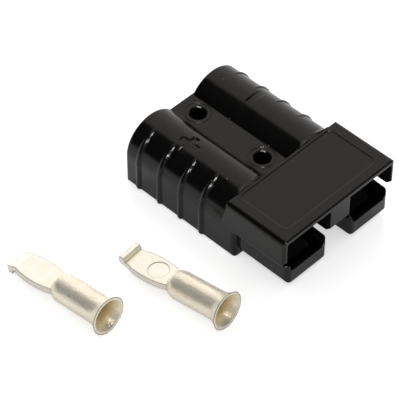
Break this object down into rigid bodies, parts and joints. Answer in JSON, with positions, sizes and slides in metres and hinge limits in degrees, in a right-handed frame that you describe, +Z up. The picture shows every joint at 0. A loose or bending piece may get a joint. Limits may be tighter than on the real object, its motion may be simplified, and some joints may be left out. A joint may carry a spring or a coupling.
{
  "type": "genderless power connector",
  "caption": "Genderless two-pole power connector: moulded housing with leaf springs and its loose crimp contacts.",
  "frame": {"origin": "midway between the two mounting holes, on the surface that the housing stands on", "axes": "+Y is the mating direction, +Z is up, +X points to the positive pole and the loose contacts"},
  "size_m": [0.0746, 0.0488, 0.0157],
  "materials": {
    "housing": "satin moulded black polycarbonate",
    "spring": "rolled stainless spring strip",
    "contact": "tumbled silver plate on copper"
  },
  "bodies": {
    "root": {"housing": "housing", "positive_spring": "spring", "negative_spring": "spring", "positive_contact": "contact", "negative_contact": "contact"}
  },
  "joints": []
}
